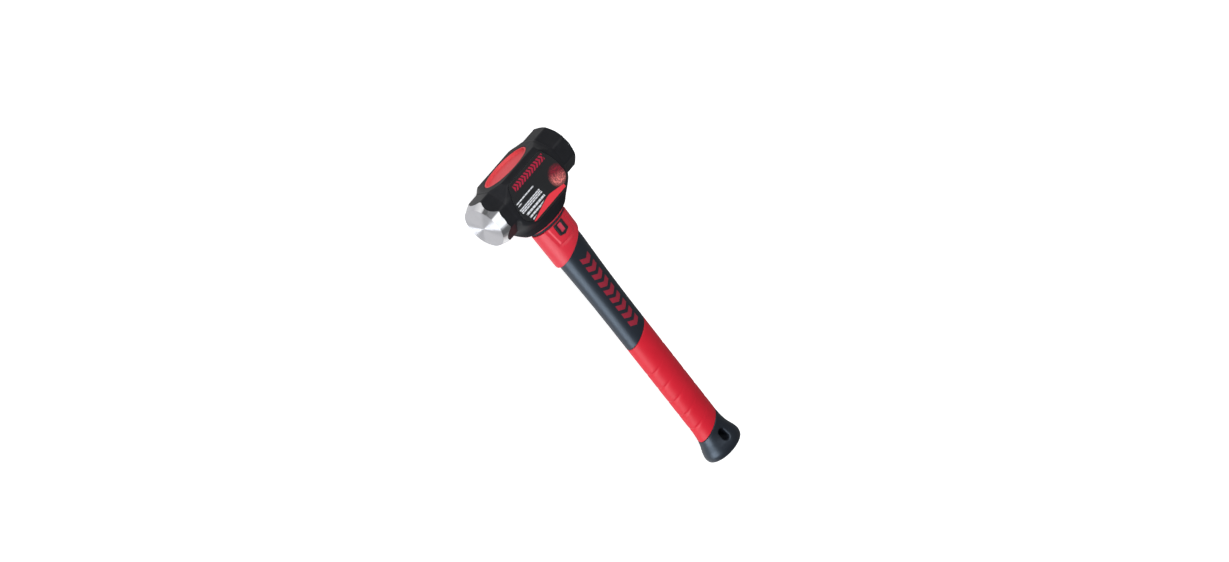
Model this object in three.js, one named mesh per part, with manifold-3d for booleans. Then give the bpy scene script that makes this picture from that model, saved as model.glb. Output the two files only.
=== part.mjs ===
// Short two-faced sledge hammer with a glass-fibre core handle, lying on its side.
// Millimetres, +Z up. The handle's axis runs along X, from the head at X = 0 to the butt at +X.
// The striking faces look along -Y and +Y. The label cheek faces up and the plain cheek rests on Z = 0.

import * as THREE from 'three';
import { ConvexGeometry } from 'three/addons/geometries/ConvexGeometry.js';
import { mergeVertices } from 'three/addons/utils/BufferGeometryUtils.js';
import Module from 'manifold-3d';

// ---------------------------------------------------------------- driving dimensions

const GAP = 0.3; // clearance left between bonded or nested pieces
const THROUGH = 30; // cutters run this far each way in Z, past every surface

// Head
const HEAD_LENGTH = 118.6; // crown to crown, along Y
const POLL_ACROSS = 47.5; // across the flats of the octagonal polls
const FACE_RADIUS = 21.7; // edge of the striking face
const FACE_EDGE = 0.4; // bevel between the face and the turned chamfer
const CROWN_RISE = 1.2; // how far the face bulges
// How far along Y the turned chamfer runs out over the octagon's corners. The -Y face has the broader one.
const CHAMFER_END_NEAR = 49;
const CHAMFER_END_FAR = 55.3;
const CHEEK = 24.6; // half the thickness across the two flat cheeks
const CROWN_TOP = -24.2; // X of the flat top of the eye boss
const BOSS_END = 40; // X of the rim that the handle enters

// One quarter of the eye boss, as [x, y, z] corners: its flat top, its flat cheek and the edge between.
const BOSS_CORNERS = [
  [CROWN_TOP, 0, 19.4], [CROWN_TOP, 26, 19.4], [CROWN_TOP, 36, 9.9],
  [-20, 25.5, CHEEK], [-2, 33.5, CHEEK], [16, 34.5, CHEEK], [28, 22.5, CHEEK],
  [-9.8, 37.5, 23.2], [0, 38.5, 23.6], [12, 38.5, 23],
];
// Ovals of the skirt that narrows towards the handle, as [x, half length, half width].
const BOSS_SKIRT = [[30, 35, 23.6], [34, 32.4, 21.8], [37.4, 29.2, 20], [BOSS_END, 25.2, 18.6]];

// Eye, and what fills it
const CAP_HALF_LENGTH = 29;
const CAP_HALF_WIDTH = 16.8;
const CAP_POCKET = 5; // depth of the pocket for the cap
const CAP_DISH = 3; // depth of the dish in the cap
const CAP_RIM = 1.4; // width of the cap's rim
const EYE_RADIUS = 17.5; // mouth of the eye, measured along Y
const EYE_WAIST = 15.8; // narrowest point of the eye
const EYE_WAIST_X = 8;
const SEAL_RADIUS = 22.2; // lip of the seal round the handle below the head

// Handle. Radii are half widths along Y; every section is an oval flattened along Z.
const FLATTEN = 0.75; // thickness over width of each oval
const SIDES = 48;
const HANDLE_END = 346; // X of the butt's end
const CORE_RADIUS = 11;
const CORE_START = -17;
const CORE_END = 308;
const JACKET_NECK = 18; // half width of the jacket where it enters the seal
const NECK_START = BOSS_END + GAP;
const SHOULDER_START = 41.8; // black band that shows between the seal and the collar
const SHOULDER_END = 44.2;
const SHOULDER_RADIUS = 21.2;
const COLLAR_SEAT_RADIUS = 18.8;
const GRIP_SEAT_RADIUS = 14.2;
const GRIP_RADIUS = 16.9;
const GRIP_BLANK_START = 150; // X where the grip's blank starts before it is cut on the slant

// Half widths of the jacket from collar to grip, and of the butt below the grip.
const JACKET_TAPER = [
  [78, 18.8], [90, 18.4], [102, 18], [116, 17.6], [130, 17.2], [148, 17], [170, 16.9], [300, 16.9],
];
const BUTT_FLARE = [
  [306, 16.9], [312, 17.2], [318, 17.9], [324, 19.3], [329, 21.1], [333, 22.5], [336.5, 23.3],
  [339.5, 23.2], [342.2, 21.8], [344.4, 18.8], [345.6, 13],
];

// The collar's lower edge, the grooves and both ends of the grip slant: the -Y side lies nearer the butt.
const SLANT = -0.45; // X gained for each millimetre along Y
const COLLAR_CUT = 74.6; // where each cut crosses the handle's axis
const GRIP_TOP_CUT = 188;
const GRIP_END_CUT = 311;

// Collar
const COLLAR_TOP_RADIUS = 22;
const COLLAR_END_RADIUS = 21.3;
const COLLAR_END = 110; // X that the collar's blank reaches before it is cut on the slant
// Pad inside a U-shaped channel, with an inset badge, on both broad sides, a little nearer the -Y side
const PAD = { start: 36, end: 67, y: -1.5, width: 30, corner: 3, channel: 3.4, depth: 0.7 };
const BADGE = { x: 52.1, y: -1.7, length: 13.4, width: 12, lean: 2, floor: 14.4, thickness: 1.8 };

// Grip
const GROOVE = { first: 222, pitch: 18.2, count: 5, depth: 0.7, halfWidth: 1.6 };

// Hanging slot through the butt, along Z
const SLOT = { x: 325.5, length: 12.5, width: 8 };

// Label on the upper cheek: outline in X and Y, for the +Y half
const LABEL_OUTLINE = [[-19.5, 24.6], [-2.6, 32.6], [15.4, 33.6], [26.3, 22.6]];
const LABEL_THICKNESS = 0.3;
const LABEL_CORNER = 3;

// ---------------------------------------------------------------- solids

const wasm = await Module();
wasm.setup();

function solid(geometry) {
  const bare = geometry.clone();
  bare.deleteAttribute('normal');
  bare.deleteAttribute('uv');
  const merged = mergeVertices(bare, 1e-4);
  const triangles = [];
  for (let corner = 0; corner < merged.index.count; corner += 3) {
    const [a, b, c] = merged.index.array.slice(corner, corner + 3);
    if (a !== b && b !== c && c !== a) triangles.push(a, b, c);
  }
  return new wasm.Manifold(new wasm.Mesh({
    numProp: 3,
    vertProperties: merged.attributes.position.array,
    triVerts: new Uint32Array(triangles),
  }));
}

function geometryOf(manifold) {
  const mesh = manifold.getMesh();
  const geometry = new THREE.BufferGeometry();
  geometry.setAttribute('position', new THREE.BufferAttribute(mesh.vertProperties.slice(), 3));
  geometry.setIndex(new THREE.BufferAttribute(mesh.triVerts.slice(), 1));
  geometry.computeVertexNormals();
  return geometry;
}

// Turns a profile of [x, radius] pairs, from low X to high X, round the X axis and flattens it along Z.
// The slant leans every section over by that much X for each millimetre along Y.
function turned(profile, { flatten = FLATTEN, sides = SIDES, slant = 0 } = {}) {
  const points = profile.map(([x, radius]) => new THREE.Vector2(radius, x));
  const lathe = new THREE.LatheGeometry(points, sides);
  lathe.rotateZ(-Math.PI / 2);
  lathe.scale(1, 1, flatten);
  lathe.applyMatrix4(new THREE.Matrix4().makeShear(0, 0, slant, 0, 0, 0));
  return solid(lathe);
}

// Extrudes a shape drawn in X and Y along Z, from low to high.
function extruded(shape, low, high, curveSegments = 8) {
  const geometry = new THREE.ExtrudeGeometry(shape, {
    depth: high - low,
    bevelEnabled: false,
    curveSegments,
  });
  geometry.translate(0, 0, low);
  return solid(geometry);
}

function rectangle(x, y, length, width, corner) {
  const shape = new THREE.Shape();
  const [left, right] = [x - length / 2, x + length / 2];
  const [low, high] = [y - width / 2, y + width / 2];
  shape.moveTo(left + corner, low);
  shape.lineTo(right - corner, low);
  shape.absarc(right - corner, low + corner, corner, -Math.PI / 2, 0);
  shape.lineTo(right, high - corner);
  shape.absarc(right - corner, high - corner, corner, 0, Math.PI / 2);
  shape.lineTo(left + corner, high);
  shape.absarc(left + corner, high - corner, corner, Math.PI / 2, Math.PI);
  shape.lineTo(left, low + corner);
  shape.absarc(left + corner, low + corner, corner, Math.PI, 1.5 * Math.PI);
  return shape;
}

// A closed outline with every corner rounded over by the given distance.
function rounded(points, corner) {
  const shape = new THREE.Shape();
  const at = (index) => new THREE.Vector2(...points[(index + points.length) % points.length]);
  points.forEach((_, index) => {
    const here = at(index);
    const arrive = at(index - 1).sub(here).setLength(corner).add(here);
    const leave = at(index + 1).sub(here).setLength(corner).add(here);
    if (index === 0) shape.moveTo(arrive.x, arrive.y);
    else shape.lineTo(arrive.x, arrive.y);
    shape.quadraticCurveTo(here.x, here.y, leave.x, leave.y);
  });
  return shape;
}

// A shield: square towards the head, with a point of the given length towards the butt.
function shield(x, y, length, width, point) {
  return new THREE.Shape([
    new THREE.Vector2(x - length / 2, y - width / 2),
    new THREE.Vector2(x + length / 2 - point, y - width / 2),
    new THREE.Vector2(x + length / 2, y),
    new THREE.Vector2(x + length / 2 - point, y + width / 2),
    new THREE.Vector2(x - length / 2, y + width / 2),
  ]);
}

// Everything on the butt side of a slanted cut that crosses the axis at x.
function beyond(x) {
  const far = 500;
  const reach = 60;
  return extruded(new THREE.Shape([
    new THREE.Vector2(x - reach * SLANT, -reach),
    new THREE.Vector2(far, -reach),
    new THREE.Vector2(far, reach),
    new THREE.Vector2(x + reach * SLANT, reach),
  ]), -reach, reach);
}

// ---------------------------------------------------------------- head

// Octagonal bar whose ends are turned down to the crowned striking faces.
function polls() {
  const apothem = POLL_ACROSS / 2;
  const corner = apothem / Math.cos(Math.PI / 8);
  const octagon = new THREE.CylinderGeometry(corner, corner, HEAD_LENGTH, 8);
  octagon.rotateY(Math.PI / 8);

  const tip = HEAD_LENGTH / 2;
  const sphere = (FACE_RADIUS ** 2 + CROWN_RISE ** 2) / (2 * CROWN_RISE);
  const crown = (radius) => tip - sphere + Math.sqrt(sphere ** 2 - radius ** 2);
  const half = (chamferEnd) => [
    [0, tip],
    ...[6, 12, 18, FACE_RADIUS].map((radius) => [radius, crown(radius)]),
    [FACE_RADIUS + FACE_EDGE, tip - CROWN_RISE - FACE_EDGE],
    [corner, chamferEnd],
    [60, chamferEnd - 1],
  ];
  const near = half(CHAMFER_END_NEAR).map(([radius, y]) => [radius, -y]);
  const profile = [...near, ...half(CHAMFER_END_FAR).reverse()];
  const envelope = new THREE.LatheGeometry(profile.map(([radius, y]) => new THREE.Vector2(radius, y)), 64);
  return solid(octagon).intersect(solid(envelope));
}

// Forged boss round the eye: flat cheeks, tapered shoulders and an oval skirt towards the handle.
function eyeBoss() {
  const quarter = [...BOSS_CORNERS];
  const steps = 8;
  for (const [x, length, width] of BOSS_SKIRT) {
    for (let step = 0; step <= steps; step++) {
      const angle = (step / steps) * (Math.PI / 2);
      quarter.push([x, length * Math.cos(angle), width * Math.sin(angle)]);
    }
  }
  const points = [];
  for (const [x, y, z] of quarter) {
    for (const [sy, sz] of [[1, 1], [1, -1], [-1, 1], [-1, -1]]) {
      points.push(new THREE.Vector3(x, sy * y, sz * z));
    }
  }
  return solid(new ConvexGeometry(points));
}

function capPlug(from, to, shrink) {
  const radius = CAP_HALF_LENGTH - shrink;
  const flatten = (CAP_HALF_WIDTH - shrink) / radius;
  return turned([[from, 0], [from, radius], [to, radius], [to, 0]], { flatten, sides: 64 });
}

function eyeBore(shrink) {
  const low = CROWN_TOP + CAP_POCKET - 1 + shrink;
  return turned([
    [low, 0], [low, EYE_RADIUS - shrink], [EYE_WAIST_X, EYE_WAIST - shrink],
    [BOSS_END + 1, EYE_RADIUS + 0.5 - shrink], [BOSS_END + 1, 0],
  ]);
}

function hammerHead() {
  return polls().add(eyeBoss())
    .subtract(capPlug(CROWN_TOP - 1, CROWN_TOP + CAP_POCKET, 0))
    .subtract(eyeBore(0));
}

function eyeCap() {
  const outer = capPlug(CROWN_TOP + 0.2, CROWN_TOP + CAP_POCKET - GAP, GAP);
  const dish = capPlug(CROWN_TOP - 1, CROWN_TOP + CAP_DISH, GAP + CAP_RIM);
  return outer.subtract(dish);
}

function core(grow) {
  const radius = CORE_RADIUS + grow;
  return turned([
    [CORE_START - grow, 0], [CORE_START - grow, radius], [CORE_END + grow, radius], [CORE_END + grow, 0],
  ]);
}

function eyeEpoxy() {
  const low = CROWN_TOP + CAP_POCKET + GAP;
  const block = extruded(rectangle((low + BOSS_END) / 2, 0, BOSS_END - low, 60, 0.1), -THROUGH, THROUGH);
  return eyeBore(GAP).intersect(block).subtract(core(GAP));
}

function eyeSeal() {
  const [from, to] = [BOSS_END + GAP, SHOULDER_START - GAP];
  const inner = JACKET_NECK + GAP;
  const ring = turned([[from, 0], [from, SEAL_RADIUS + 0.4], [to, SEAL_RADIUS], [to, 0]]);
  const hole = turned([[from - 1, 0], [from - 1, inner], [to + 1, inner], [to + 1, 0]]);
  return ring.subtract(hole);
}

// ---------------------------------------------------------------- handle

function jacketBlank() {
  return turned([
    [NECK_START, 0], [NECK_START, JACKET_NECK],
    [SHOULDER_START, JACKET_NECK], [SHOULDER_START, SHOULDER_RADIUS],
    [SHOULDER_END, SHOULDER_RADIUS], [SHOULDER_END, COLLAR_SEAT_RADIUS],
    ...JACKET_TAPER, ...BUTT_FLARE, [HANDLE_END, 6], [HANDLE_END, 0],
  ]);
}

function gripSeat(grow) {
  const radius = GRIP_SEAT_RADIUS + grow;
  return turned([[GRIP_BLANK_START, 0], [GRIP_BLANK_START, radius], [HANDLE_END, radius], [HANDLE_END, 0]]);
}

function hangingSlot() {
  return extruded(rectangle(SLOT.x, 0, SLOT.length, SLOT.width, SLOT.width / 2 - 0.01), -THROUGH, THROUGH);
}

function handleJacket() {
  const gripSpace = beyond(GRIP_TOP_CUT).subtract(beyond(GRIP_END_CUT)).subtract(gripSeat(0));
  return jacketBlank()
    .subtract(gripSpace)
    .subtract(core(GAP))
    .subtract(hangingSlot());
}

// The inset badge's outline, grown all round by `grow`.
function badgePlan(grow) {
  return shield(BADGE.x, BADGE.y, BADGE.length + 2 * grow, BADGE.width + 2 * grow, BADGE.lean);
}

// The pad's outline, drawn in all round by `inset`.
function padPlan(inset) {
  const length = PAD.end - PAD.start - 2 * inset;
  return rectangle((PAD.start + PAD.end) / 2, PAD.y, length, PAD.width - 2 * inset, PAD.corner - inset / 2);
}

function overstrikeCollar() {
  const top = SHOULDER_END + GAP;
  const bevel = 0.7;
  const shell = turned([
    [top, 0], [top, COLLAR_TOP_RADIUS - bevel], [top + bevel, COLLAR_TOP_RADIUS],
    [COLLAR_END, COLLAR_END_RADIUS], [COLLAR_END, 0],
  ]).subtract(beyond(COLLAR_CUT));
  const channelFloor = turned([
    [PAD.start, 0], [PAD.start, COLLAR_TOP_RADIUS - PAD.depth],
    [COLLAR_END, COLLAR_END_RADIUS - PAD.depth], [COLLAR_END, 0],
  ]);
  const channel = extruded(padPlan(0), -THROUGH, THROUGH)
    .subtract(extruded(padPlan(PAD.channel), -THROUGH, THROUGH))
    .subtract(channelFloor);
  const bore = turned([
    [BOSS_END, 0], [BOSS_END, COLLAR_SEAT_RADIUS + GAP],
    ...JACKET_TAPER.map(([x, radius]) => [x, radius + GAP]), [GRIP_END_CUT, 0],
  ]);
  return shell
    .subtract(channel)
    .subtract(bore)
    .subtract(extruded(badgePlan(GAP), BADGE.floor, THROUGH))
    .subtract(extruded(badgePlan(GAP), -THROUGH, -BADGE.floor));
}

// The badge in the recess of the upper side (1) or the lower side (-1).
function collarBadge(side) {
  const low = BADGE.floor + GAP;
  const heights = [side * low, side * (low + BADGE.thickness)];
  return extruded(badgePlan(0), Math.min(...heights), Math.max(...heights));
}

// A shallow slanted groove round the grip.
function grooveCutter(x) {
  const reach = GROOVE.halfWidth;
  const options = { slant: SLANT };
  const brim = GRIP_RADIUS + 0.4;
  const outside = turned([
    [x - reach, 0], [x - reach, THROUGH], [x + reach, THROUGH], [x + reach, 0],
  ], options);
  const inside = turned([
    [x - reach - 1, 0], [x - reach - 1, brim], [x, GRIP_RADIUS - GROOVE.depth],
    [x + reach + 1, brim], [x + reach + 1, 0],
  ], options);
  return outside.subtract(inside);
}

function gripSleeve() {
  const blank = [[GRIP_BLANK_START, 0], [GRIP_BLANK_START, GRIP_RADIUS], ...BUTT_FLARE, [HANDLE_END, 0]];
  let sleeve = turned(blank)
    .intersect(beyond(GRIP_TOP_CUT + GAP))
    .subtract(beyond(GRIP_END_CUT - GAP))
    .subtract(gripSeat(GAP));
  for (let index = 0; index < GROOVE.count; index++) {
    sleeve = sleeve.subtract(grooveCutter(GROOVE.first + index * GROOVE.pitch));
  }
  return sleeve;
}

function sideLabel() {
  const mirrored = LABEL_OUTLINE.map(([x, y]) => [x, -y]).reverse();
  const outline = [...LABEL_OUTLINE, ...mirrored].reverse();
  const low = CHEEK + GAP;
  return extruded(rounded(outline, LABEL_CORNER), low, low + LABEL_THICKNESS);
}

// ---------------------------------------------------------------- materials

function material(color, roughness, metalness = 0) {
  return new THREE.MeshStandardMaterial({ color, roughness, metalness });
}

const blackPaint = material(0x1b1d20, 0.45, 0.2);
const redPlastic = material(0xd02b37, 0.45);
const redRubber = material(0xc81f30, 0.55);
const blackPlastic = material(0x20242a, 0.4);
const glassFibre = material(0xd9c98f, 0.5);
const epoxy = material(0x8c8468, 0.3);
const vinyl = material(0x16171a, 0.35);

// ---------------------------------------------------------------- assembly

const hammer = new THREE.Group();
hammer.position.z = CHEEK;

function place(name, manifold, finish) {
  const mesh = new THREE.Mesh(geometryOf(manifold), finish);
  mesh.name = name;
  hammer.add(mesh);
}

place('hammer_head', hammerHead(), blackPaint);
place('eye_cap', eyeCap(), redPlastic);
place('eye_epoxy', eyeEpoxy(), epoxy);
place('eye_seal', eyeSeal(), redRubber);
place('fibreglass_core', core(0), glassFibre);
place('handle_jacket', handleJacket(), blackPlastic);
place('overstrike_collar', overstrikeCollar(), redRubber);
place('collar_badge_front', collarBadge(1), blackPlastic);
place('collar_badge_back', collarBadge(-1), blackPlastic);
place('grip_sleeve', gripSleeve(), redRubber);
place('side_label', sideLabel(), vinyl);

const part = new THREE.Group();
part.add(hammer);

export default part;
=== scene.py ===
from math import cos, radians, sin

import bpy
import numpy as np
from mathutils import Matrix, Vector


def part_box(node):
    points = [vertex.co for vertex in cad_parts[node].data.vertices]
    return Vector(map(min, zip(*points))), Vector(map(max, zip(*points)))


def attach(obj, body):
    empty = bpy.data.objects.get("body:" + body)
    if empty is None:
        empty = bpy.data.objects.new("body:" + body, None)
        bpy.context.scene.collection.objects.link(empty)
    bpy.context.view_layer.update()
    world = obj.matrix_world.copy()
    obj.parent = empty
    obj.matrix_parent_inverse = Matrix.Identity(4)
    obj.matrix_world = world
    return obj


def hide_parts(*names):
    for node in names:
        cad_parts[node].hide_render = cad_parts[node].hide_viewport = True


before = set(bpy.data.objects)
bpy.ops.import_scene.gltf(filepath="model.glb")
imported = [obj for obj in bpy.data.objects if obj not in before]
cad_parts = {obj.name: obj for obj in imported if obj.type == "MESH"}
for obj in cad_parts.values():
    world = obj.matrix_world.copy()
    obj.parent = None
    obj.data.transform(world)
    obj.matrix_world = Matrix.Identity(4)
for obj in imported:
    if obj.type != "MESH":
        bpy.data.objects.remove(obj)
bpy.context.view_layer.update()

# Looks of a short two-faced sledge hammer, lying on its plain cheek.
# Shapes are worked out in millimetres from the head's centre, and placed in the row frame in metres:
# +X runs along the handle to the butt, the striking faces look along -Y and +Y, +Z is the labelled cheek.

MM = 0.001

# ---------------------------------------------------------------- driving dimensions, from the frame

CENTRE = Vector((0, 0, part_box("hammer_head")[1].z / 2))  # where the head's and the handle's axes cross


def extent(node):
    """A node's lowest and highest corner in millimetres from the head's centre."""
    return [(corner - CENTRE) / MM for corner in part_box(node)]


HEAD_LOW, HEAD_HIGH = extent("hammer_head")
JACKET_LOW, JACKET_HIGH = extent("handle_jacket")
CAP_LOW, CAP_HIGH = extent("eye_cap")
SEAL_LOW, SEAL_HIGH = extent("eye_seal")
COLLAR_LOW, COLLAR_HIGH = extent("overstrike_collar")
BADGE_LOW, BADGE_HIGH = extent("collar_badge_front")
LABEL_LOW, LABEL_HIGH = extent("side_label")

TIP = HEAD_HIGH.y  # middle of the crowned striking face
CHEEK = HEAD_HIGH.z
CROWN = HEAD_LOW.x  # flat top of the eye boss
BOSS_END = HEAD_HIGH.x
APOTHEM = 23.75  # octagon of the polls, centre to flat
FACE_RADIUS = 21.7
CROWN_RISE = 1.2
FACE_EDGE = 0.4  # rolled edge between the crown and the turned chamfer
CORNER = APOTHEM / cos(radians(22.5))  # octagon, centre to corner
CHAMFER_END = {-1: 49, 1: 55.3}  # how far along Y the chamfer of each face runs out over the corners
SKIRT_START, SKIRT_LENGTH = 16, 24  # where the boss narrows towards the handle
CAP_HALF_LENGTH = CAP_HIGH.y
CAP_HALF_WIDTH = CAP_HIGH.z
CAP_RIM, CAP_DEPTH = 1.5, 3.0
FLATTEN = 0.75  # every section of the handle is an oval this much flatter along Z
SLANT = 0.45  # the cuts of collar and grip lean this much X for each millimetre along Y
COLLAR_CUT = 74.6  # where the slanted cuts cross the handle's axis
GRIP_TOP_CUT = 188
GRIP_END_CUT = 311
GROOVES = [222 + 18.2 * index for index in range(5)]
SLOT_X, SLOT_LENGTH, SLOT_WIDTH = 325.5, 12.5, 8
EYE_BORE, SEAL_BORE, NECK, CORE_BORE = 17.9, 18.3, 18, 11  # half widths along Y
NECK_END, CORE_BORE_END = 44, 308
SHOULDER, SHOULDER_START, SHOULDER_END = 21.2, 41.8, 44.2
SEAT, GRIP_BORE = 14.2, 14.4  # half widths of the jacket under the grip, and of the grip's bore
PAD_END, PAD_Y = 67, -1.5  # end and middle of the channel round the collar's pad
CHANNEL_DEPTH = 0.7
BADGE = (BADGE_LOW + BADGE_HIGH) / 2
WINDOW_BACK, WINDOW_LENGTH, WINDOW_WIDTH = 0.8, 9.2, 5.4  # sunk window, back from the badge's middle
GROOVE_WIDTH = 1.2

# Half widths of the jacket along X, from the collar to the grip, and of the butt below the grip
JACKET_TAPER = [(41, 18.8), (78, 18.8), (90, 18.4), (116, 17.6), (148, 17), (170, 16.9), (306, 16.9)]
BUTT_FLARE = [(312, 17.2), (318, 17.9), (324, 19.3), (329, 21.1), (333, 22.5), (337.5, 23.3), (342, 22.4),
              (346, 19)]


# ---------------------------------------------------------------- distance fields

def rounded_max(a, b, radius):
    """The space that is inside both fields, with the edge between them rounded off."""
    return (np.minimum(-radius, np.maximum(a, b))
            + np.hypot(np.maximum(a + radius, 0), np.maximum(b + radius, 0)))


def rounded_min(a, b, radius):
    """The space that is inside either field, with a fillet where they meet."""
    return -rounded_max(-a, -b, radius)


def oval(y, z, length, width, power=2):
    """Distance outside an oval with those half axes. Powers over 2 make it boxier."""
    u, v = np.abs(y / length) + 1e-9, np.abs(z / width) + 1e-9
    size = (u ** power + v ** power) ** (1 / power)
    slope = size ** (1 - power) * np.hypot(u ** (power - 1) / length, v ** (power - 1) / width)
    return (size - 1) / slope


def slab(value, low, high):
    """Distance outside the space between two parallel planes."""
    return np.abs(value - (low + high) / 2) - (high - low) / 2


def rounded_box(x, y, length, width, corner):
    """Distance outside a rectangle with rounded corners, given the place from its middle."""
    u, v = np.abs(x) - length / 2 + corner, np.abs(y) - width / 2 + corner
    return np.hypot(np.maximum(u, 0), np.maximum(v, 0)) + np.minimum(np.maximum(u, v), 0) - corner


def curve_through(points):
    """A smooth curve through (x, value) points that doesn't overshoot them."""
    x, value = np.array(points, float).T
    slope = np.diff(value) / np.diff(x)
    product = slope[:-1] * slope[1:]
    total = np.where(product > 0, slope[:-1] + slope[1:], 1)
    inner = np.where(product > 0, 2 * product / total, 0)
    tangent = np.concatenate([slope[:1], inner, slope[-1:]])

    def value_at(at):
        index = np.clip(np.searchsorted(x, at) - 1, 0, len(x) - 2)
        step = x[index + 1] - x[index]
        t = np.clip((at - x[index]) / step, 0, 1)
        start, end = value[index], value[index + 1]
        ease = t * t * (3 - 2 * t)
        bend = t * (1 - t) * step * ((1 - t) * tangent[index] - t * tangent[index + 1])
        return start + (end - start) * ease + bend

    return value_at


def slanted(x, y, cut):
    """Distance past a slanted cut that crosses the axis at x = cut."""
    return (x + SLANT * y - cut) / np.hypot(1, SLANT)


# ---------------------------------------------------------------- meshes

def net(field, low, high, pitch):
    """Points, quads and normals of the closed surface where a field is zero."""
    axes = [np.arange(a - 1.6 * step, b + 2.6 * step, step) for a, b, step in zip(low, high, pitch)]
    value = field(*np.meshgrid(*axes, indexing="ij"))
    cells = np.array(value.shape)
    strides = np.array([cells[1] * cells[2], cells[2], 1])
    count = np.zeros(cells.prod())
    total = np.zeros((3, cells.prod()))
    rings = []
    for axis in range(3):
        ahead = np.moveaxis(value, axis, 0)
        crossing = np.moveaxis((ahead[:-1] < 0) != (ahead[1:] < 0), 0, axis)
        at = np.array(np.nonzero(crossing))
        index = strides @ at
        here = value.ravel()[index]
        share = here / (here - value.ravel()[index + strides[axis]])
        point = np.array([axes[k][at[k]] for k in range(3)])
        point[axis] += share * pitch[axis]
        side, other = strides[(axis + 1) % 3], strides[(axis + 2) % 3]
        ring = np.array([index, index - side, index - side - other, index - other])
        for cell in ring:
            count += np.bincount(cell, minlength=len(count))
            for k in range(3):
                total[k] += np.bincount(cell, point[k], len(count))
        ring[:, here > 0] = ring[::-1, here > 0]
        rings.append(ring)
    used = count > 0
    number = np.cumsum(used) - 1
    points = total[:, used] / count[used]
    quads = number[np.concatenate(rings, 1)].T
    reach = min(pitch)
    for _ in range(4):
        size, slope = field(*points), gradient(field, points)
        move = size * slope / np.maximum((slope ** 2).sum(0), 0.1)
        points = points - move * np.minimum(1, reach / (np.linalg.norm(move, axis=0) + 1e-9))
    slope = gradient(field, points)
    return points.T, quads, (slope / np.linalg.norm(slope, axis=0)).T


def gradient(field, points, step=0.04):
    """How fast a field grows along X, Y and Z."""
    slope = np.empty_like(points)
    for axis in range(3):
        shift = np.zeros((3, 1))
        shift[axis] = step
        slope[axis] = (field(*(points + shift)) - field(*(points - shift))) / (2 * step)
    return slope


def add_mesh(name, points, faces, normals=None):
    """A piece from points in millimetres from the head's centre."""
    mesh = bpy.data.meshes.new(name)
    mesh.from_pydata((np.asarray(points) * MM + np.array(CENTRE)).tolist(), [], faces)
    mesh.shade_smooth()
    if normals is not None:
        mesh.normals_split_custom_set_from_vertices(normals.tolist())
    piece = bpy.data.objects.new(name, mesh)
    bpy.context.scene.collection.objects.link(piece)
    return piece


def add_field(name, field, low, high, pitch):
    """A piece from a distance field, with a grid of that pitch along each axis, or along X, Y and Z."""
    if not hasattr(pitch, "__len__"):
        pitch = (pitch, pitch, pitch)
    points, quads, normals = net(field, low, high, pitch)
    return add_mesh(name, points, quads.tolist(), normals)


def settle(piece, material, slot, *nodes):
    """Gives a piece its material and the body it rides on, and hides the CAD nodes it stands for."""
    piece.data.materials.append(material)
    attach(piece, "root")
    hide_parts(*nodes)


# ---------------------------------------------------------------- node helpers

class Signal:
    """A number in a shader, which Python arithmetic builds up out of Math nodes."""

    def __init__(self, tree, socket):
        self.tree = tree
        self.socket = socket

    def math(self, operation, *others, clamp=False):
        node = self.tree.nodes.new("ShaderNodeMath")
        node.operation = operation
        node.use_clamp = clamp
        for socket, value in zip(node.inputs, (self, *others)):
            feed(socket, value)
        return Signal(self.tree, node.outputs[0])

    def __add__(self, other):
        return self.math("ADD", other)

    def __sub__(self, other):
        return self.math("SUBTRACT", other)

    def __mul__(self, other):
        return self.math("MULTIPLY", other)

    def __truediv__(self, other):
        return self.math("DIVIDE", other)

    def __abs__(self):
        return self.math("ABSOLUTE")

    def over(self, limit, soft=0.0):
        """1 above the limit and 0 below it, across a soft edge."""
        if soft == 0:
            return self.math("GREATER_THAN", limit)
        return ((self - limit) / soft + 0.5).math("MULTIPLY", 1, clamp=True)

    def between(self, low, high):
        return self.over(low) * (self * -1).over(-high)


def feed(socket, value):
    """Links a signal to a socket, or sets the socket to a constant."""
    if isinstance(value, Signal):
        value.tree.links.new(value.socket, socket)
    else:
        socket.default_value = value


def place(tree):
    """The X, Y and Z of a surface point in millimetres from the head's centre, as signals."""
    source = tree.nodes.new("ShaderNodeTexCoord")
    split = tree.nodes.new("ShaderNodeSeparateXYZ")
    tree.links.new(source.outputs["Object"], split.inputs[0])
    x, y, z = (Signal(tree, socket) * (1 / MM) for socket in split.outputs)
    return x, y, z - CENTRE.z / MM


def vector(tree, x, y, z):
    node = tree.nodes.new("ShaderNodeCombineXYZ")
    for socket, value in zip(node.inputs, (x, y, z)):
        feed(socket, value)
    return Signal(tree, node.outputs[0])


def noise(tree, at, scale, detail=2.0, roughness=0.5):
    """Smooth noise from 0 to 1. With places in millimetres, the scale is in features a millimetre."""
    node = tree.nodes.new("ShaderNodeTexNoise")
    feed(node.inputs["Vector"], at)
    node.inputs["Scale"].default_value = scale
    node.inputs["Detail"].default_value = detail
    node.inputs["Roughness"].default_value = roughness
    return Signal(tree, node.outputs["Fac"])


def mix(tree, share, first, second):
    """A colour that goes from the first to the second as the share goes from 0 to 1."""
    node = tree.nodes.new("ShaderNodeMix")
    node.data_type = "RGBA"
    feed(node.inputs["Factor"], share)
    for socket, colour in zip((node.inputs[6], node.inputs[7]), (first, second)):
        feed(socket, colour if isinstance(colour, Signal) else (*colour, 1))
    return Signal(tree, node.outputs[2])


def bump(tree, shader, height, depth):
    """Presses a height from 0 to 1 into the surface, with its depth in millimetres."""
    node = tree.nodes.new("ShaderNodeBump")
    node.inputs["Distance"].default_value = depth * MM
    feed(node.inputs["Height"], height)
    tree.links.new(node.outputs[0], shader.inputs["Normal"])


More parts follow.
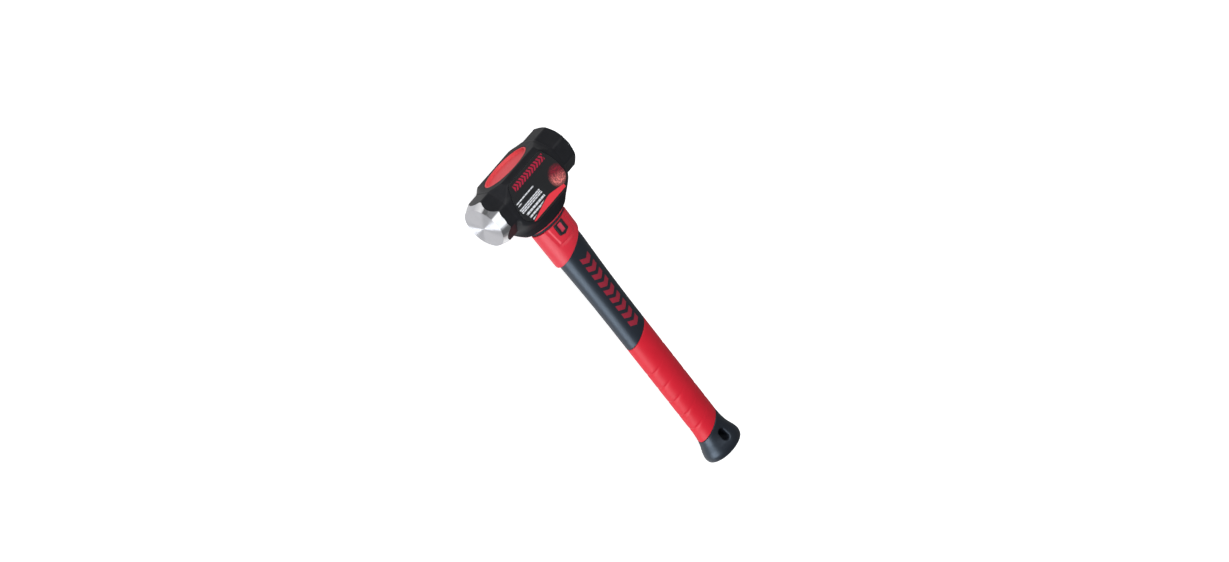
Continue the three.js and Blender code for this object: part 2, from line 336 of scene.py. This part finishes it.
def new_material(name, **fixed):
    """An empty Principled material, with the given sockets set. Returns it, its tree and its shader."""
    material = bpy.data.materials.new(name)
    material.use_nodes = True
    shader = material.node_tree.nodes["Principled BSDF"]
    for key, value in fixed.items():
        shader.inputs[key.replace("_", " ")].default_value = value
    return material, material.node_tree, shader


# ---------------------------------------------------------------- materials

def black_paint():
    """Satin black paint: fine orange peel over the forging's soft unevenness, and duller on the skirt."""
    material, tree, shader = new_material("black_paint")
    x, y, z = place(tree)
    at = vector(tree, x, y, z)
    cloud = noise(tree, at, 0.12, 3)
    peel = noise(tree, at, 0.9, 2)
    grit = noise(tree, at, 3.5, 2)
    skirt = x.over(27, 8)
    feed(shader.inputs["Base Color"], mix(tree, cloud, (0.0095, 0.010, 0.012), (0.0155, 0.016, 0.019)))
    feed(shader.inputs["Roughness"], cloud * 0.12 + grit * 0.08 + 0.34 + skirt * 0.2)
    feed(shader.inputs["Specular IOR Level"], skirt * -0.14 + 0.18)
    bump(tree, shader, cloud * 0.6 + peel * 0.3 + grit * 0.1, 0.05)
    return material


def ground_steel():
    """Bare steel turned on a lathe: fine rings round the head's axis stretch the highlights.

    On the chamfer the colour holds painted light: lighter steel as a painted highlight, and dark bands,
    broken by lighter ones, fanning out from the axis as a painted reflection of what it mirrors.
    """
    material, tree, shader = new_material("ground_steel", Metallic=1.0, Anisotropic=1.0)
    x, y, z = place(tree)
    radius = (x * x + z * z).math("SQRT")
    rings = noise(tree, vector(tree, radius * 2.5, y * 2.5, 0.0), 1.0, 4, 0.7)
    smear = noise(tree, vector(tree, x, y, z), 0.18, 3)
    angle = z.math("ARCTAN2", x)
    chamfer = radius.over(FACE_RADIUS + 0.2, 0.3) * abs(z).over(8, 6)
    # Dark bands with lighter lines in them on the chamfer: a painted reflection, fainter on the side towards
    # the handle.
    broad = (angle * 6 + 0.9).math("SINE").over(0, 0.5)
    fine = (angle * 14 + 0.73).math("SINE").over(0.3, 1)
    painted_reflections = (broad - fine * 0.4) * (x.over(0, 10) * -0.25 + 0.85)
    ground = mix(tree, rings * 0.6 + smear * 0.4, (0.46, 0.46, 0.485), (0.62, 0.62, 0.65))
    # Lighter steel over most of the chamfer: a painted highlight.
    ground = mix(tree, chamfer * 0.9, ground, (0.86, 0.86, 0.87))
    feed(shader.inputs["Base Color"], mix(tree, chamfer * painted_reflections, ground, (0.09, 0.09, 0.10)))
    feed(shader.inputs["Roughness"], rings * 0.08 + smear * 0.06 + 0.35)
    feed(shader.inputs["Tangent"], vector(tree, x, 0.0, z))
    bump(tree, shader, rings, 0.01)
    return material


def moulded(name, low, high, gloss, seam=False, paint=None, **fixed):
    """A moulded plastic or rubber: slow colour drift, a fine skin texture and an optional mould seam."""
    material, tree, shader = new_material(name, **fixed)
    x, y, z = place(tree)
    at = vector(tree, x, y, z)
    drift = noise(tree, at, 0.05, 3)
    skin = noise(tree, at, 2.2, 3, 0.6)
    colour = mix(tree, drift * 0.7 + skin * 0.3, low, high)
    rough = skin * 0.12 + drift * 0.08 + gloss
    height = skin * 0.5 + drift * 0.5
    if seam:
        height = height + (abs(z) * -1).over(-0.25, 0.3) * 0.6
    if paint:
        colour, rough = paint(tree, (x, y, z), colour, rough)
    feed(shader.inputs["Base Color"], colour)
    feed(shader.inputs["Roughness"], rough)
    bump(tree, shader, height, 0.025)
    return material


RED_INK = (0.30, 0.012, 0.030)


def handle_print(tree, at, colour, rough):
    """A row of plain chevrons down the upper side of the handle, and a duller neck below the head."""
    x, y, z = at
    start, end, half, pitch = 88, 178, 6.4, 10
    cell = ((x - start + abs(y) * 0.55) / pitch).math("FRACT")
    mask = cell.over(0.42) * x.between(start, end) * abs(y).math("LESS_THAN", half) * z.over(0)
    wear = noise(tree, vector(tree, x, y, z), 1.6, 3)
    mask = mask * (wear * 0.5 + 0.7).math("MINIMUM", 1)
    neck = (x * -1).over(-NECK_END - 2, 2)
    return mix(tree, mask, colour, RED_INK), rough - mask * 0.06 + neck * 0.4


def badge_print(tree, at, colour, rough):
    """A red panel sunk in a black frame."""
    x, y, _ = at
    along, across = abs(x - BADGE.x + WINDOW_BACK), abs(y - BADGE.y)
    panel = along.math("LESS_THAN", 4.4) * across.math("LESS_THAN", 2.5)
    return mix(tree, panel, colour, (0.62, 0.05, 0.09)), rough


def rows(x, y, first, last, count, start, end):
    """Printed rows from x = first to last, each broken up into word-like runs from y = start to end."""
    step = (last - first) / count
    share = (x - first) / step
    words = ((y + share.math("FLOOR") * 2.3) / 4.3).math("FRACT").over(0.10)
    return share.math("FRACT").between(0.12, 0.80) * x.between(first, last) * y.between(start, end) * words


# Blocks of rows on the label below its first row: X of the first and last, how many, and their Y span
TEXT_BLOCKS = [(1.2, 2.6, 1, -30.6, -25), (4.9, 10.4, 3, -32.5, -1.8), (12.0, 15.2, 1, -30.5, -2.5),
               (16.3, 19.0, 1, -30.5, -7), (20.2, 22.0, 1, -30, -20)]


def label_print(tree, at, colour, rough):
    """Generic graphics: a band of slanted bars, a speckled roundel, blocks of rows and a horn."""
    x, y, _ = at
    band_middle, bar_pitch = -13, 3.9
    band = x.between(-16.4, -9.6) * y.between(-22, 24.4)
    bars = ((y + abs(x - band_middle) * 0.7) / bar_pitch).math("FRACT").over(0.42)
    roundel_x, roundel_y, roundel_radius = 10.1, 24.2, 9.2
    across, along = x - roundel_x, y - roundel_y
    radius = (across * across + along * along).math("SQRT")
    disc = (radius * -1).over(-roundel_radius, 4.5)
    speckle = noise(tree, vector(tree, x, y, 0.0), 0.55, 2, 0.8).over(0.51, 0.07)
    glow = (across * 0.85 - along * 0.3).over(1, 8)
    from_waist = y - 3.2
    horn_top = (from_waist * from_waist + 16).math("SQRT") * 0.25 + 15.8
    horn = (x - horn_top).over(0, 0.4) * x.math("LESS_THAN", 24.2) * y.between(-27, 24)
    lean = y - x * 0.2
    text = rows(x, lean, -1.7, 0.2, 1, -30.3, -3.5)
    for first, last, count, start, end in TEXT_BLOCKS:
        text = text + rows(x, lean, first, last, count, start, end)
    text = text * (x - horn_top + 1.0).math("LESS_THAN", 0)
    colour = mix(tree, band * bars * 0.9, colour, (0.52, 0.010, 0.05))
    dots = mix(tree, glow, (0.30, 0.010, 0.03), (1, 0.26, 0.24))
    colour = mix(tree, disc * (speckle * 0.65 + 0.35), colour, dots)
    colour = mix(tree, horn, colour, (0.86, 0.04, 0.06))
    return mix(tree, text, colour, (0.74, 0.75, 0.78)), rough


def cast_resin():
    """Clouded amber epoxy."""
    material, tree, shader = new_material("cast_resin", IOR=1.55)
    at = vector(tree, *place(tree))
    cloud = noise(tree, at, 0.3, 3)
    feed(shader.inputs["Base Color"], mix(tree, cloud, (0.30, 0.26, 0.17), (0.46, 0.41, 0.28)))
    feed(shader.inputs["Roughness"], cloud * 0.2 + 0.2)
    bump(tree, shader, cloud, 0.1)
    return material


def glass_rod():
    """Pultruded glass fibre, with its strands running along the handle."""
    material, tree, shader = new_material("glass_rod", IOR=1.52)
    x, y, z = place(tree)
    strands = noise(tree, vector(tree, x * 0.05, y * 3, z * 3), 1.0, 3)
    feed(shader.inputs["Base Color"], mix(tree, strands, (0.55, 0.46, 0.24), (0.76, 0.68, 0.45)))
    feed(shader.inputs["Roughness"], strands * 0.2 + 0.35)
    bump(tree, shader, strands, 0.1)
    return material


# ---------------------------------------------------------------- head

def octagon(x, z):
    """Distance outside the polls' octagon, with its corners rounded off."""
    rounding = 1.1
    across, high = np.abs(x), np.abs(z)
    sides = rounded_max(across - APOTHEM, (across + high) * 0.5 ** 0.5 - APOTHEM, rounding)
    return rounded_max(sides, high - APOTHEM, rounding)


def chamfer_slope(side, x, z):
    """Radius that a chamfer gains for each millimetre back from its face.

    It gains less over the cheek flats of the -Y poll, which are ground further back.
    """
    slope = (CORNER - FACE_RADIUS - FACE_EDGE) / (TIP - CHAMFER_END[side] - CROWN_RISE - FACE_EDGE)
    over_cheek = (side < 0) * np.exp(-(np.arctan2(x, np.abs(z)) / 0.33) ** 2)
    return slope * (1 - 0.55 * over_cheek)


def polls(x, y, z):
    """Both polls, kept just inside the bare faces that stand on their tips."""
    back = TIP - np.abs(y)
    radius = np.hypot(x, z)
    slope = np.where(y < 0, chamfer_slope(-1, x, z), chamfer_slope(1, x, z))
    start = FACE_RADIUS + FACE_EDGE + slope * (back - CROWN_RISE - FACE_EDGE)
    cone = (radius - start) / np.hypot(1, slope)
    return rounded_max(octagon(x, z), np.maximum(cone + 0.06, 1.5 - back), 0.3)


def planes_through(quarter):
    """Outer planes of the solid spanned by corners, each given once and mirrored in Y and in Z."""
    mirrors = [(side, top) for side in (1, -1) for top in (1, -1)]
    corners = np.array([[x, y * side, z * top] for x, y, z in quarter for side, top in mirrors])
    corners = np.unique(corners, axis=0)
    index = np.arange(len(corners))
    a, b, c = (grid.ravel() for grid in np.meshgrid(index, index, index, indexing="ij"))
    first = (a < b) & (a < c) & (b != c)
    a, b, c = a[first], b[first], c[first]
    normal = np.cross(corners[b] - corners[a], corners[c] - corners[a])
    length = np.linalg.norm(normal, axis=1)
    real = length > 1e-6
    normal = normal[real] / length[real, None]
    offset = (normal * corners[a[real]]).sum(1)
    outer = (corners @ normal.T).max(0) < offset + 1e-6
    return np.unique(np.round(np.c_[normal, offset][outer], 6), axis=0)


# The boss's flat top, flat cheek and the edge between, with its sides carried on past the skirt
BOSS_CORNERS = [
    (CROWN, 26, 19.4), (CROWN, 36, 9.9), (-20, 25.5, CHEEK), (-2, 33.5, CHEEK), (16, 34.5, CHEEK),
    (-9.8, 37.5, 23.2), (0, 38.5, 23.6), (12, 38.5, 23), (60, 34.5, CHEEK), (60, 38.5, 23),
]
BOSS_PLANES = planes_through(BOSS_CORNERS)


def boss(x, y, z):
    """The forged boss round the eye: softened planes, inside a skirt that narrows in ovals."""
    soft = 0.32
    sharpest = np.full(x.shape, -1e9)
    blocks = [a * x + b * y + c * z - d for a, b, c, d in BOSS_PLANES]
    for block in blocks:
        sharpest = np.maximum(sharpest, block)
    swell = sum(np.exp(np.maximum((block - sharpest) / soft, -40)) for block in blocks)
    facets = sharpest + soft * np.log(swell)
    along = np.clip((x - SKIRT_START) / SKIRT_LENGTH, 0, 1)
    length = 38.6 * np.sqrt(1 - (np.clip(x - SKIRT_START, 0, 30) / 33.5) ** 2)
    width = CHEEK - 0.5 * (x - 28)
    skirt = oval(y, z, length, width, 2 + 4 * (1 - along) ** 2)
    return rounded_max(rounded_max(facets, skirt, 2.0), x - BOSS_END, 1.6)


def head(x, y, z):
    """The one-piece forging: two octagonal polls joined by the boss, with the cap's pocket and the eye."""
    body = rounded_min(polls(x, y, z), boss(x, y, z), 2.2)
    body = rounded_max(rounded_max(body, CROWN - x, 0.3), np.abs(z) - CHEEK, 0.3)
    pocket_wall = oval(y, z, CAP_HALF_LENGTH + 0.15, CAP_HALF_WIDTH + 0.15)
    pocket = np.maximum(pocket_wall, x - CAP_HIGH.x - 0.2)
    eye = np.maximum(oval(y, z, EYE_BORE, EYE_BORE * FLATTEN), CAP_HIGH.x - x)
    return rounded_max(rounded_max(body, -pocket, 0.5), -eye, 0.3)


def striking_face(side):
    """The ground tip of one poll: crown, rolled edge and turned chamfer, cut off by the octagon's flats."""
    turns, chamfer_rings, last_turn = 256, 9, np.pi / 3.2
    angle = np.linspace(0, 2 * np.pi, turns, endpoint=False)
    low, high = np.full(turns, FACE_RADIUS), np.full(turns, 2 * APOTHEM)
    for _ in range(40):  # halves the gap round the octagon's edge each time
        middle = (low + high) / 2
        outside = octagon(middle * np.cos(angle), middle * np.sin(angle)) > 0
        low, high = np.where(outside, low, middle), np.where(outside, middle, high)
    edge = low
    rings = []  # radius and depth behind the tip at each angle
    for radius in np.linspace(0.5, FACE_RADIUS, 16):
        rings.append((np.full(turns, radius), np.full(turns, CROWN_RISE * (radius / FACE_RADIUS) ** 2)))
    for turn in (0.25 * last_turn, 0.5 * last_turn, 0.75 * last_turn, last_turn):
        radius = FACE_RADIUS + FACE_EDGE * np.sin(turn) / np.sin(last_turn)
        back = CROWN_RISE + FACE_EDGE * (1 - np.cos(turn)) / (1 - np.cos(last_turn))
        rings.append((np.full(turns, radius), np.full(turns, back)))
    start, back_edge = FACE_RADIUS + FACE_EDGE, CROWN_RISE + FACE_EDGE
    slope = chamfer_slope(side, np.cos(angle), np.sin(angle))
    for share in np.linspace(0.12, 1, chamfer_rings):
        radius = start + (edge - start) * share
        rings.append((radius, back_edge + (radius - start) / slope))
    rim_radius, rim_back = rings[-1]
    rings.append((rim_radius - 0.08, rim_back + 0.1))
    rings.append((rim_radius - 1.2, rim_back + 0.3))
    rings.append((np.full(turns, 0.5), rim_back * 0 + 6))
    points = [[(r * cos(a), side * (TIP - b), r * sin(a)) for r, b, a in zip(radius, back, angle)]
              for radius, back in rings]
    face = closed_rings(f"striking_face_{'near' if side < 0 else 'far'}", points, side < 0)
    # The chamfer is shaded as the even cone that it was turned to. A zero keeps the mesh's own normal.
    lean = chamfer_slope(side, 1, 0)
    outward = np.stack((np.cos(angle), np.full(turns, side * lean), np.sin(angle)), 1) / np.hypot(1, lean)
    normals = np.zeros((len(rings), turns, 3))
    normals[-3 - chamfer_rings:-3] = outward
    face.data.normals_split_custom_set_from_vertices(normals.reshape(-1, 3).tolist())
    return face


def closed_rings(name, rings, flip):
    """A closed piece from rings of points, each end filled with a small polygon."""
    turns = len(rings[0])
    points = [point for ring in rings for point in ring]
    faces = []
    for row in range(len(rings) - 1):
        for step in range(turns):
            following = (step + 1) % turns
            faces.append([row * turns + step, row * turns + following,
                          (row + 1) * turns + following, (row + 1) * turns + step])
    faces.append(list(range(turns))[::-1])
    faces.append(list(range((len(rings) - 1) * turns, len(rings) * turns)))
    if flip:
        faces = [face[::-1] for face in faces]
    piece = add_mesh(name, points, faces)
    piece.data.set_sharp_from_angle(angle=radians(24))
    return piece


def cap(x, y, z):
    """A moulded oval dish that closes the top of the eye."""
    outer = rounded_max(oval(y, z, CAP_HALF_LENGTH, CAP_HALF_WIDTH), slab(x, CAP_LOW.x, CAP_HIGH.x), 0.4)
    wall = oval(y, z, CAP_HALF_LENGTH - CAP_RIM, CAP_HALF_WIDTH - CAP_RIM)
    crown = 0.5 * (1 - (y / CAP_HALF_LENGTH) ** 2 - (z / CAP_HALF_WIDTH) ** 2)
    dish = rounded_max(wall + (x - CAP_LOW.x) * 0.18, x - CAP_LOW.x - CAP_DEPTH + crown, 0.9)
    return rounded_max(outer, -dish, 0.35)


# ---------------------------------------------------------------- handle

jacket_width = curve_through(JACKET_TAPER + BUTT_FLARE)


def ring_of(x, y, z, low, high, inner, outer, edge):
    """A flat oval ring round the handle."""
    tube = np.maximum(oval(y, z, outer, outer * FLATTEN), -oval(y, z, inner, inner * FLATTEN))
    return rounded_max(tube, slab(x, low, high), edge)


def seal(x, y, z):
    """The seal round the neck below the head, as one oval ring."""
    return ring_of(x, y, z, SEAL_LOW.x, SEAL_HIGH.x, SEAL_BORE, SEAL_HIGH.y, 0.35)


def hanging_slot(x, y):
    """The slot through the butt."""
    return rounded_box(x - SLOT_X, y, SLOT_LENGTH, SLOT_WIDTH, SLOT_WIDTH / 2 - 0.01)


def jacket(x, y, z):
    """The black moulding over the core: neck, shoulder, tapered shaft, seat for the grip and flared butt."""
    width = jacket_width(x)
    dish = np.exp(-1.3 * (((x - SLOT_X) / 10.5) ** 2 + (y / 8.0) ** 2))
    broad = np.clip(np.abs(z) / (width * FLATTEN), 0, 1) ** 4
    body = oval(y, z, width, width * FLATTEN) + 1.3 * dish * broad
    body = rounded_max(body, x - JACKET_HIGH.x, 5.0)
    neck = np.maximum(oval(y, z, NECK, NECK * FLATTEN), JACKET_LOW.x - x)
    body = rounded_max(body, SHOULDER_START + 0.6 - x, 0.3)
    shoulder = slab(x, SHOULDER_START, SHOULDER_END)
    shoulder = rounded_max(oval(y, z, SHOULDER, SHOULDER * FLATTEN), shoulder, 0.3)
    body = np.minimum(np.minimum(body, shoulder), rounded_max(neck, x - NECK_END, 0.1))
    seat = np.maximum(-slanted(x, y, GRIP_TOP_CUT), slanted(x, y, GRIP_END_CUT))
    seat = np.maximum(seat, -oval(y, z, SEAT, SEAT * FLATTEN))
    body = rounded_max(body, -seat, 0.35)
    body = rounded_max(body, -hanging_slot(x, y), 1.6)
    bore = np.maximum(oval(y, z, CORE_BORE, CORE_BORE * FLATTEN), x - CORE_BORE_END)
    return rounded_max(body, -bore, 0.2)


def pad_channel(x, y):
    """Depth of the channel round the pad: its outer side slopes broadly and its inner side is steep."""
    half = 15.3 - 0.10 * (x - COLLAR_LOW.x)
    inside = -rounded_max(np.abs(y - PAD_Y) - half, x - PAD_END, 3.0)
    return CHANNEL_DEPTH * np.clip(inside / 2.6, 0, 1) * np.clip((4.1 - inside) / 1.2, 0, 1)


def collar(x, y, z):
    """The guard below the head: a thick sleeve cut on the slant, with a pad on both broad sides."""
    width = 22 - 0.7 * (x - COLLAR_LOW.x) / 66.5
    body = oval(y, z, width, width * FLATTEN) + pad_channel(x, y)
    body = rounded_max(body, COLLAR_LOW.x - x, 0.7)
    body = rounded_max(body, slanted(x, y, COLLAR_CUT), 1.1)
    badge = badge_plan(x, y, 0.2)
    recess = rounded_max(badge, BADGE_LOW.z - 0.2 - np.abs(z), 0.1)
    body = rounded_max(body, -recess, 0.3)
    inner = jacket_width(x) + 0.1
    return rounded_max(body, -oval(y, z, inner, inner * FLATTEN), 0.2)


def badge_plan(x, y, grow):
    """Outline of the badge: square towards the head, with a low point towards the butt."""
    half = BADGE_HIGH.y - BADGE.y
    across = np.abs(y - BADGE.y)
    sides = np.maximum(across - half, BADGE_LOW.x - x)
    lean = 2 / half
    point = (x - BADGE_HIGH.x + lean * across) / np.hypot(1, lean)
    return rounded_max(sides, point, 0.6) - grow


def badge_on(side):
    """The field of the badge above or below the handle, with its window sunk in."""
    def badge(x, y, z):
        height = side * z
        rim = rounded_max(badge_plan(x, y, 0), slab(height, BADGE_LOW.z, BADGE_HIGH.z), 0.3)
        window = rounded_box(x - BADGE.x + WINDOW_BACK, y - BADGE.y, WINDOW_LENGTH, WINDOW_WIDTH, 0.7)
        return rounded_max(rim, -np.maximum(window, BADGE_HIGH.z - 0.6 - height), 0.15)
    return badge


def grip(x, y, z):
    """The rubber sleeve: slanted ends, and five slanted grooves that all but run out on the broad sides."""
    width = jacket_width(x)
    outside = oval(y, z, width, width * FLATTEN)
    depth = 0.08 + 0.5 * np.clip((np.abs(y) / width - 0.5) / 0.35, 0, 1)
    for groove in GROOVES:
        away = np.abs(x + SLANT * y - groove) / np.hypot(1, SLANT)
        outside = outside + depth * np.exp(-(away / GROOVE_WIDTH) ** 2)
    body = rounded_max(outside, -slanted(x, y, GRIP_TOP_CUT + 0.25), 0.5)
    body = rounded_max(body, slanted(x, y, GRIP_END_CUT - 0.25), 0.5)
    return rounded_max(body, -oval(y, z, GRIP_BORE, GRIP_BORE * FLATTEN), 0.2)


def label(x, y, z):
    """A thin printed film with rounded corners."""
    outline = [(-19.5, 24.6), (-2.6, 32.6), (15.4, 33.6), (26.3, 22.6)]
    edges = [(-19.5, 0), *outline, (26.3, 0)]
    plan = None
    for (x1, y1), (x2, y2) in zip(edges, edges[1:]):
        across = ((x - x1) * (y1 - y2) + (np.abs(y) - y1) * (x2 - x1)) / np.hypot(x2 - x1, y2 - y1)
        plan = across if plan is None else rounded_max(plan, across, 2.4)
    return rounded_max(plan, slab(z, LABEL_LOW.z, LABEL_HIGH.z), 0.08)


# ---------------------------------------------------------------- pieces

paint = black_paint()
steel = ground_steel()
red_rubber = moulded("red_rubber", (0.53, 0.006, 0.020), (0.63, 0.010, 0.028), 0.36,
                     Specular_IOR_Level=0.35, Sheen_Weight=0.10, Sheen_Roughness=0.35)
red_collar = moulded("red_collar", (0.56, 0.014, 0.032), (0.66, 0.022, 0.044), 0.34,
                     Specular_IOR_Level=0.44, Sheen_Weight=0.12, Sheen_Roughness=0.35)
red_cap = moulded("red_cap", (0.76, 0.054, 0.070), (0.85, 0.080, 0.095), 0.42,
                  Specular_IOR_Level=0.5)
black_plastic = moulded("black_plastic", (0.006, 0.0075, 0.011), (0.010, 0.012, 0.017), 0.30, seam=True,
                        paint=handle_print, Specular_IOR_Level=0.72, Specular_Tint=(0.68, 0.82, 1, 1))
badge_plastic = moulded("badge_plastic", (0.008, 0.009, 0.012), (0.014, 0.016, 0.02), 0.30,
                        paint=badge_print)
label_film = moulded("label_film", (0.009, 0.0095, 0.011), (0.013, 0.0135, 0.015), 0.30, paint=label_print)

settle(add_field("hammer_head_forging", head, HEAD_LOW, HEAD_HIGH, 0.62), paint, "head_steel", "hammer_head")
for side in (-1, 1):
    settle(striking_face(side), steel, "head_steel", "hammer_head")
settle(add_field("eye_cap_dish", cap, CAP_LOW, CAP_HIGH, 0.4), red_cap, "cap_plastic", "eye_cap")
settle(add_field("eye_seal_lip", seal, SEAL_LOW, SEAL_HIGH, 0.3), red_collar, "red_rubber", "eye_seal")
settle(add_field("handle_jacket_moulding", jacket, JACKET_LOW, JACKET_HIGH, (0.9, 0.75, 0.75)),
       black_plastic, "black_plastic", "handle_jacket")
settle(add_field("overstrike_collar_guard", collar, COLLAR_LOW, COLLAR_HIGH, 0.42), red_collar, "red_rubber",
       "overstrike_collar")
for name, node, side in (("front", "collar_badge_front", 1), ("back", "collar_badge_back", -1)):
    low, high = extent(node)
    settle(add_field(f"collar_badge_{name}_inset", badge_on(side), low, high, 0.2), badge_plastic,
           "black_plastic", node)
grip_low, grip_high = extent("grip_sleeve")
settle(add_field("grip_sleeve_rubber", grip, grip_low, grip_high, (0.6, 0.6, 0.6)), red_rubber, "red_rubber",
       "grip_sleeve")
settle(add_field("side_label_film", label, LABEL_LOW, LABEL_HIGH, (0.5, 0.5, 0.1)), label_film,
       "label_vinyl", "side_label")

# The resin and the core stay as the frame made them, inside the head and the handle.
for node, material in (("eye_epoxy", cast_resin()), ("fibreglass_core", glass_rod())):
    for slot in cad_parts[node].material_slots:
        slot.material = material


# ---------------------------------------------------------------- stage, light and camera

def stage_piece(name, points, faces, radiance, bounce):
    """A glowing surface of the set. A bounce card lights the object unseen, and the floor is only seen."""
    mesh = bpy.data.meshes.new(name)
    mesh.from_pydata(points, [], faces)
    mesh.shade_smooth()
    piece = bpy.data.objects.new(name, mesh)
    bpy.context.scene.collection.objects.link(piece)
    material, _, shader = new_material(name, Roughness=0.9, Emission_Strength=radiance)
    shader.inputs["Base Color"].default_value = (0, 0, 0, 1) if bounce else (0.8, 0.8, 0.8, 1)
    shader.inputs["Emission Color"].default_value = (1, 1, 1, 1)
    mesh.materials.append(material)
    piece.visible_camera = not bounce
    piece.visible_diffuse = bounce
    piece.visible_glossy = bounce
    piece.visible_shadow = False


def add_floor():
    """A pale floor that curves up into a wall far away on all sides."""
    profile = [(0.5, 0), (2, 0), (9, 0), (11, 0.4), (12.4, 1.6), (13, 4), (13, 9)]
    turns = 64
    angle = [2 * np.pi * step / turns for step in range(turns)]
    points = [(r * cos(a), r * sin(a), h - 0.0002) for r, h in profile for a in angle]
    faces = [list(range(turns))]
    for row in range(len(profile) - 1):
        for step in range(turns):
            here, beside = row * turns + step, row * turns + (step + 1) % turns
            faces.append([here, here + turns, beside + turns, beside])
    stage_piece("floor", points, faces, 0.75, False)


def add_card(name, low, high, radiance):
    """A flat card just under the floor, which throws light up like the bright part of a light table."""
    corners = [low, (high[0], low[1]), high, (low[0], high[1])]
    points = [(x, y, -0.001) for x, y in corners]
    stage_piece(name, points, [[0, 1, 2, 3]], radiance, True)


def direction(azimuth, elevation):
    """Unit vector from the object towards that azimuth and elevation, in degrees."""
    azimuth, elevation = radians(azimuth), radians(elevation)
    return Vector((cos(azimuth) * cos(elevation), sin(azimuth) * cos(elevation), sin(elevation)))


def add_softbox(name, azimuth, elevation, distance, width, height, radiance, colour=(1, 1, 1)):
    """A rectangular area light that faces the middle of the handle."""
    target = CENTRE + Vector((0.09, 0, 0))
    light = bpy.data.lights.new(name, "AREA")
    light.shape = "RECTANGLE"
    light.size, light.size_y = width, height
    light.energy = radiance * np.pi * width * height
    light.color = colour
    lamp = bpy.data.objects.new(name, light)
    away = direction(azimuth, elevation)
    lamp.location = target + away * distance
    lamp.rotation_euler = away.to_track_quat("Z", "Y").to_euler()
    bpy.context.scene.collection.objects.link(lamp)


def add_world(strength):
    """An even, slightly cool glow from all sides."""
    world = bpy.data.worlds.new("studio")
    world.use_nodes = True
    background = world.node_tree.nodes["Background"]
    background.inputs["Color"].default_value = (0.94, 0.97, 1, 1)
    background.inputs["Strength"].default_value = strength
    bpy.context.scene.world = world


def add_camera():
    """Looks down on the label cheek past the near face, turned so that the handle hangs low right."""
    azimuth, elevation, roll, distance = -128.32, 52.5, 84.1, 2.5
    turn = (Matrix.Rotation(radians(azimuth + 90), 4, "Z") @ Matrix.Rotation(radians(90 - elevation), 4, "X")
            @ Matrix.Rotation(radians(roll), 4, "Z"))
    right, up, back = (Vector(turn.col[k][:3]) for k in range(3))
    aim = CENTRE + right * 0.0877 - up * 0.088
    data = bpy.data.cameras.new("camera")
    data.lens = 78.74
    data.sensor_width = 36
    data.clip_end = 100
    camera = bpy.data.objects.new("camera", data)
    camera.matrix_world = Matrix.Translation(aim + back * distance) @ turn
    bpy.context.scene.collection.objects.link(camera)
    bpy.context.scene.camera = camera


COOL = (0.93, 0.97, 1.0)
add_floor()
add_world(0.2)
add_card("front_card", (-1.5, -1.6), (1.5, -0.022), 1.1)
add_card("side_card", (-1.5, -0.022), (-0.026, 0.3), 0.6)
add_softbox("key_light", -75, 20, 1.3, 0.8, 0.9, 6.8, COOL)
add_softbox("top_light", 170, 60, 1.5, 1.2, 1.2, 3.2)
add_softbox("edge_light", -165, 7, 1.3, 0.6, 0.35, 2.2)
add_camera()
bpy.context.scene.view_settings.view_transform = "Standard"
